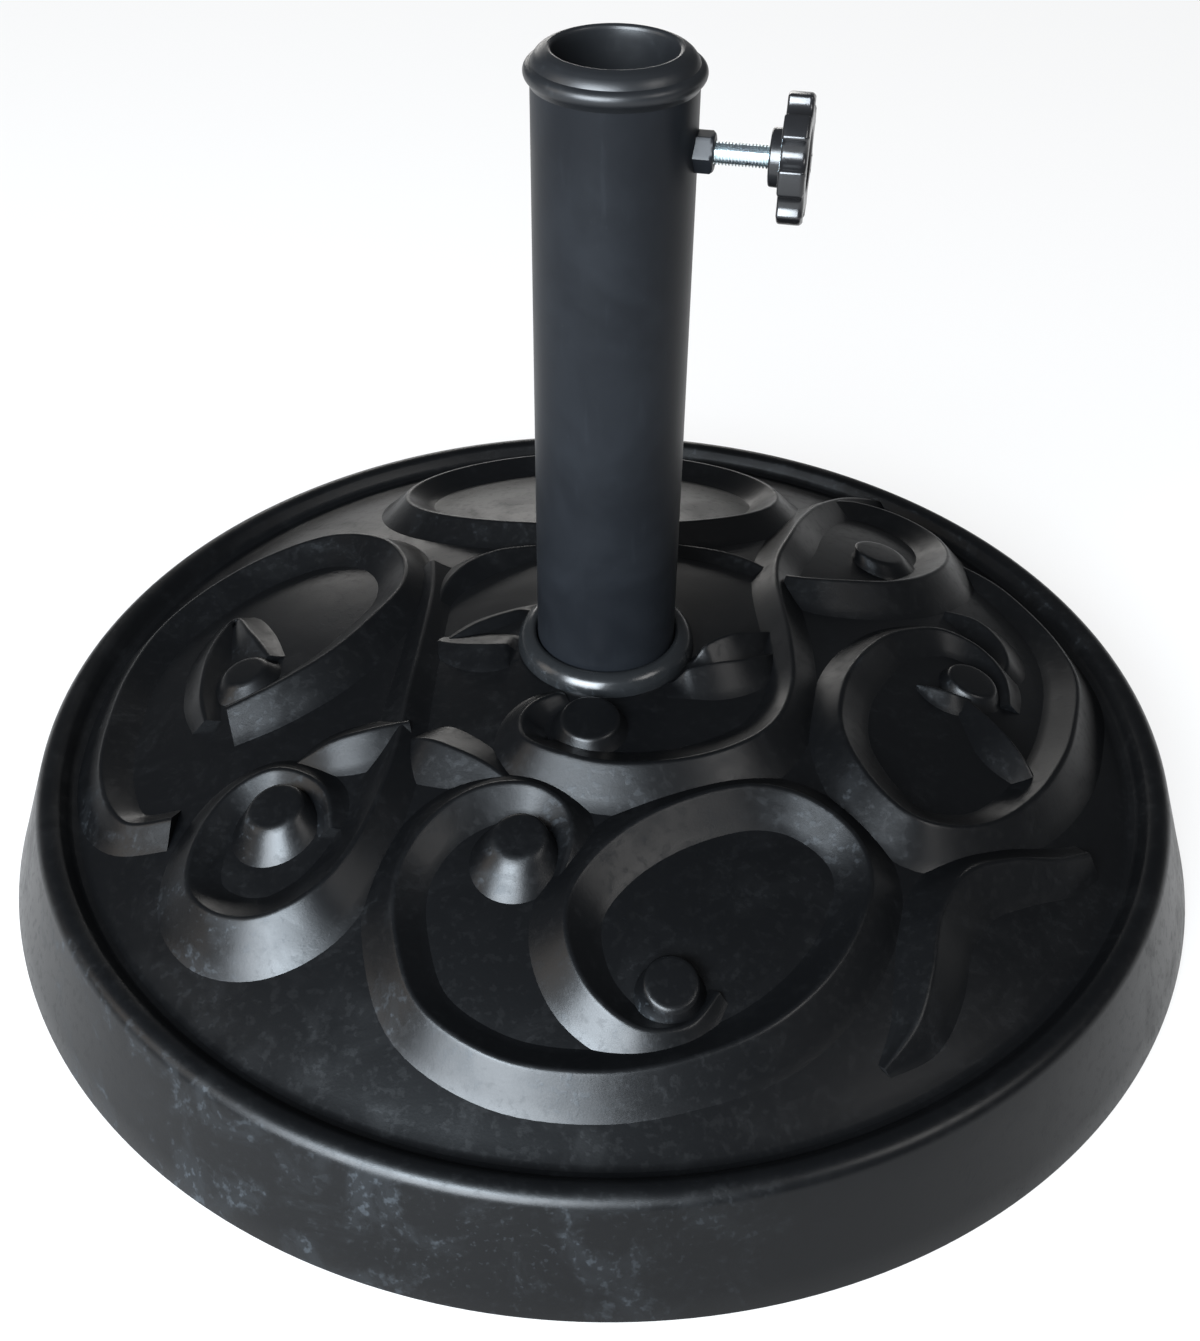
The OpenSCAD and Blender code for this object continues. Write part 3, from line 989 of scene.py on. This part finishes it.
@dataclass
class Collar:
    """The plastic collar in the tube's top, with a bead over the tube's edge."""

    pole_r: float = 18.5
    tube_r: float = 25.0
    tube_top: float = 288.0
    plug: float = 13.0

    def build(self, finishes: Finishes) -> None:
        """Builds and dresses the collar."""
        z, r = self.tube_top, self.tube_r
        bead = arc(r - 0.65, z + 3.5, 2.65, -52, 66, 12)
        outline = ([(self.pole_r, z - self.plug + 0.6), (self.pole_r + 0.6, z - self.plug),
                    (r - 2.9, z - self.plug), (r - 1.8, z - self.plug + 1),
                    (r - 1.8, z + 0.05), (r + 0.2, z + 0.05)]
                   + bead
                   + [(r - 0.15, z + 6.15), (r - 0.35, z + 6.6), (r - 0.9, z + 7.5)]
                   + smooth_line([(r - 1.6, z + 8.4), (r - 3.0, z + 9.5), (r - 4.6, z + 10.2),
                                  (self.pole_r + 1.2, z + 10.35), (self.pole_r + 0.35, z + 9.9),
                                  (self.pole_r, z + 9.0)], 4)
                   + [(self.pole_r, z + 6), (self.pole_r, z)])
        piece = turned("tube_collar", outline, 192)
        mount(piece, finishes.trim, "trim_plastic", "base", "top_collar")


# ---- the clamp

@dataclass
class Clamp:
    """The clamp screw: a nut on the tube, a threaded shank, its pad and a lobed knob."""

    height: float = 269.4
    nut_af: float = 11.0
    nut_in: float = 24.2
    nut_out: float = 30.2
    shank_r: float = 3.45
    pitch: float = 1.0
    thread_depth: float = 0.55
    shank_from: float = 23.1
    hub_in: float = 46.6
    hub_r: float = 8.6
    knob_in: float = 50.3
    knob_out: float = 58.1
    knob_r: float = 18.8
    lobes: int = 7
    lobe_turn: float = 24.6
    scallop_r: float = 4.4
    scallop_out: float = 0.7
    corner_cut: float = 1.2
    dish_depth: float = 0.8

    def nut(self) -> bpy.types.Object:
        """The hexagon nut, with its corners chamfered."""
        flat = self.nut_af / 2
        shape = Shape()
        rows = []
        stages = [(self.nut_in, 99.0), (self.nut_out - 1.25, 99.0),
                  (self.nut_out - 1.0, flat * 1.145), (self.nut_out - 0.35, flat * 1.035),
                  (self.nut_out - 0.12, flat * 0.985), (self.nut_out, flat * 0.93)]
        for x, limit in stages:
            row = []
            for i in range(72):
                a = math.radians(5 * i)
                edge = flat / math.cos((a - math.pi / 6) % (math.pi / 3) - math.pi / 6)
                r = min(edge - self.corner_cut * max(0.0, edge / flat - 1.12), limit)
                row.append(Vector((x, r * math.sin(a), self.height + r * math.cos(a))))
            rows.append(row)
        bore = [Vector((self.nut_out - d, (self.shank_r + k) * math.sin(math.radians(5 * i)),
                        self.height + (self.shank_r + k) * math.cos(math.radians(5 * i))))
                for d, k in ((0.0, 0.7), (0.5, 0.1)) for i in range(72)]
        rows += [bore[:72], bore[72:]]
        index = shape.grid([list(reversed(r)) for r in rows], wrap_columns=True)
        shape.cap(index[0][::-1])
        shape.cap(index[-1])
        return shape.build("clamp_hex_nut", 25)

    def shank(self) -> bpy.types.Object:
        """The threaded shank, with a real helical thread, and its nose in the pad."""
        profile = [(0.0, 0.0), (0.12, 0.0), (0.42, 1.0), (0.58, 1.0), (0.88, 0.0)]
        start, end = self.shank_from, self.knob_in - 0.2
        turns = int((end - start) / self.pitch) + 2
        shape = Shape()
        rows = []
        for i in range(28):
            a = 2 * math.pi * i / 28
            row = []
            for k in range(-1, turns):
                for share, deep in profile:
                    x = start + (k + share + i / 28) * self.pitch
                    r = self.shank_r - self.thread_depth * deep
                    held = min(max(x, start), end)
                    if held != x:
                        r = self.shank_r - self.thread_depth
                    row.append(Vector((held, r * math.cos(a), self.height + r * math.sin(a))))
            rows.append(row)
        index = shape.grid(rows)
        step = len(profile)
        last, first = index[-1], index[0]
        for j in range(len(first) - step - 1):
            shape.faces.append([last[j], last[j + 1], first[j + step + 1], first[j + step]])
        core = turned("shank_core", filleted([
            (0.02, self.shank_from - 1.6, 0), (2.0, self.shank_from - 1.6, 0.3),
            (2.2, self.shank_from, 0), (self.shank_r - 0.56, self.shank_from, 0.2),
            (self.shank_r - 0.56, end, 0), (0.02, end, 0)], 4), 28, Axis.SCREW, self.height)
        return joined("clamp_thread", [shape.build("shank_thread", 60), core])

    def outline(self) -> list[Point2]:
        """The knob's outline, y and height, with round lobes between its scallops."""
        n = 420
        out = []
        span = 360 / self.lobes
        reach = self.knob_r + self.scallop_out
        for i in range(n):
            a = 360 * i / n
            off = (a - 180 + self.lobe_turn) % span - span / 2
            from_notch = math.radians(span / 2 - abs(off))
            r = self.knob_r
            across = reach * math.sin(from_notch)
            if across < self.scallop_r:
                inner = reach * math.cos(from_notch) - math.sqrt(self.scallop_r ** 2 - across ** 2)
                r = min(r, inner)
            shoulder = math.asin(min(1.0, self.scallop_r / reach))
            beyond = from_notch - shoulder * 0.93
            soft = math.radians(3.6)
            if 0 <= beyond < soft:
                r = min(r, self.knob_r - 0.9 * (1 - beyond / soft) ** 2)
            out.append((r * math.cos(math.radians(a)), r * math.sin(math.radians(a))))
        return out

    def knob(self) -> bpy.types.Object:
        """The lobed knob with its hub."""
        line = self.outline()
        n = len(line)
        normals = []
        for i in range(n):
            p, q = Vector(line[i - 2]), Vector(line[(i + 2) % n])
            d = (q - p).normalized()
            normals.append(Vector((d.y, -d.x)))
        a, b = self.knob_in, self.knob_out
        stages = [(a, 1.0), (a + 0.08, 0.55), (a + 0.3, 0.22), (a + 0.7, 0.03), (a + 1.2, 0.0),
                  (b - 1.5, 0.0), (b - 1.0, 0.05), (b - 0.55, 0.3), (b - 0.2, 0.7), (b, 1.4),
                  (b, 2.2)]
        shape = Shape()
        rows = []
        for x, inset in stages:
            rows.append([Vector((x, y - m.x * inset, self.height + z - m.y * inset))
                         for (y, z), m in zip(line, normals)])
        dish = b - self.dish_depth
        for r, x in ((10.2, b), (9.7, b - 0.05), (9.3, b - 0.35), (9.0, dish), (4.0, dish)):
            rows.append([Vector((x, r * math.cos(2 * math.pi * i / n),
                                 self.height + r * math.sin(2 * math.pi * i / n)))
                         for i in range(n)])
        index = shape.grid(rows, wrap_columns=True)
        shape.cap(index[0][::-1])
        shape.fan(index[-1], Vector((dish, 0, self.height)))
        hub = turned("knob_hub", filleted([
            (self.shank_r + 0.05, self.hub_in, 0.3), (self.hub_r - 0.15, self.hub_in, 0.8),
            (self.hub_r, self.knob_in + 0.3, 0), (self.shank_r + 0.05, self.knob_in + 0.3, 0)], 5),
            96, Axis.SCREW, self.height)
        return joined("lobed_knob", [shape.build("knob_disc", 45), hub])

    def build(self, finishes: Finishes) -> None:
        """Builds and dresses the clamp."""
        mount(self.nut(), finishes.nut, "painted_steel", "base", "clamp_nut")
        mount(self.shank(), finishes.zinc, "plated_steel", "clamp_screw", "clamp_bolt")
        dress("clamp_pad", finishes.seat)
        mount(self.knob(), finishes.knob, "knob_plastic", "clamp_screw", "knob")


# ---- the studio

@dataclass
class Softbox:
    """A soft rectangular light.

    Attributes:
        name: the light's name.
        azimuth, elevation: the direction it stands in; azimuth 0 is the camera's side.
        distance: how far from the tube's foot it stands, in metres.
        width, depth: its size, in metres.
        power: its power, in watts.
        colour: its colour.
        aim, reach: the height it's aimed at, and how far from the tube, in metres.
    """

    name: str
    azimuth: float
    elevation: float
    distance: float
    width: float
    depth: float
    power: float
    colour: Colour = (1.0, 1.0, 1.0)
    aim: float = 0.1
    reach: float = 0.0

    def build(self) -> None:
        """Adds the light; its azimuth grows anticlockwise from above."""
        lamp = bpy.data.lights.new(self.name, "AREA")
        lamp.shape = "RECTANGLE"
        lamp.size, lamp.size_y = self.width, self.depth
        lamp.energy = self.power
        lamp.color = self.colour
        piece = bpy.data.objects.new(self.name, lamp)
        bpy.context.scene.collection.objects.link(piece)
        a, e = math.radians(self.azimuth - 90), math.radians(self.elevation)
        out = Vector((math.cos(a) * math.cos(e), math.sin(a) * math.cos(e), math.sin(e)))
        target = Vector((math.cos(a) * self.reach, math.sin(a) * self.reach, self.aim))
        piece.location = Vector((0, 0, self.aim)) + out * self.distance
        piece.rotation_euler = (target - piece.location).to_track_quat("-Z", "Y").to_euler()


@dataclass
class Studio:
    """A pale floor, soft light and the camera."""

    turn: float = 9.5
    back: float = 478.89
    up: float = 458.10
    yaw: float = -0.0041
    pitch: float = 0.6845
    roll: float = 0.0144
    lens: float = 44.233
    world: Colour = (0.86, 0.90, 0.96)
    world_strength: float = 0.14
    lights: list[Softbox] = field(default_factory=lambda: [
        Softbox("key_light", -27, 29, 1.7, 1.3, 1.0, 150, (0.84, 0.92, 1.0)),
        Softbox("right_light", 62, 42, 1.8, 0.6, 0.5, 8, (1.0, 0.98, 0.96)),
        Softbox("left_light", -80, 24, 2.0, 0.7, 1.0, 7, (1.0, 0.88, 0.76)),
        Softbox("back_light", -172, 9, 2.8, 1.6, 0.35, 12, (1.0, 0.98, 0.95)),
        Softbox("floor_light", -26, 36, 0.56, 0.2, 0.1, 3, (0.74, 0.88, 1.0), 0.0, 0.42),
    ])

    def camera(self) -> None:
        """Adds the camera."""
        cam = bpy.data.cameras.new("camera")
        cam.sensor_width = 36.0
        cam.lens = self.lens
        cam.clip_start, cam.clip_end = 0.01, 50
        piece = bpy.data.objects.new("camera", cam)
        bpy.context.scene.collection.objects.link(piece)
        ahead = Vector((math.sin(self.yaw) * math.cos(self.pitch),
                        math.cos(self.yaw) * math.cos(self.pitch), -math.sin(self.pitch)))
        right0 = ahead.cross(Vector((0, 0, 1))).normalized()
        above0 = right0.cross(ahead)
        c, s = math.cos(self.roll), math.sin(self.roll)
        right, above = c * right0 + s * above0, c * above0 - s * right0
        rows = Matrix((right, above, -ahead)).transposed().to_4x4()
        rows.translation = Vector((0, -self.back, self.up)) * MM
        piece.matrix_world = Matrix.Rotation(math.radians(self.turn), 4, "Z") @ rows
        bpy.context.scene.camera = piece

    def floor(self) -> None:
        """Adds the pale floor."""
        mesh = bpy.data.meshes.new("floor")
        side = 6.0
        mesh.from_pydata([(-side, -side, 0), (side, -side, 0), (side, side, 0), (-side, side, 0)],
                         [], [(0, 1, 2, 3)])
        piece = bpy.data.objects.new("floor", mesh)
        bpy.context.scene.collection.objects.link(piece)
        paint = Paint("pale_floor")
        piece.data.materials.append(paint.finish({
            "Base Color": (0.12, 0.12, 0.12, 1), "Roughness": 0.9, "Specular IOR Level": 0.0,
            "Emission Color": (1, 1, 1, 1), "Emission Strength": 0.82}, {}))

    def build(self) -> None:
        """Builds the studio."""
        self.camera()
        self.floor()
        for light in self.lights:
            light.azimuth += self.turn
            light.build()
        world = bpy.data.worlds.new("studio")
        world.use_nodes = True
        back = world.node_tree.nodes["Background"]
        back.inputs["Color"].default_value = (*self.world, 1)
        back.inputs["Strength"].default_value = self.world_strength
        bpy.context.scene.world = world
        bpy.context.scene.view_settings.view_transform = "Standard"


def main() -> None:
    """Builds the studio and every piece."""
    logging.basicConfig(level=logging.INFO, format="%(name)s: %(message)s")
    Studio().build()
    finishes = Finishes()
    for part in (Shell(), Underside(), Mast(), Collar(), Clamp()):
        log.info("building %s", type(part).__name__)
        part.build(finishes)


if __name__ == "__main__":
    main()
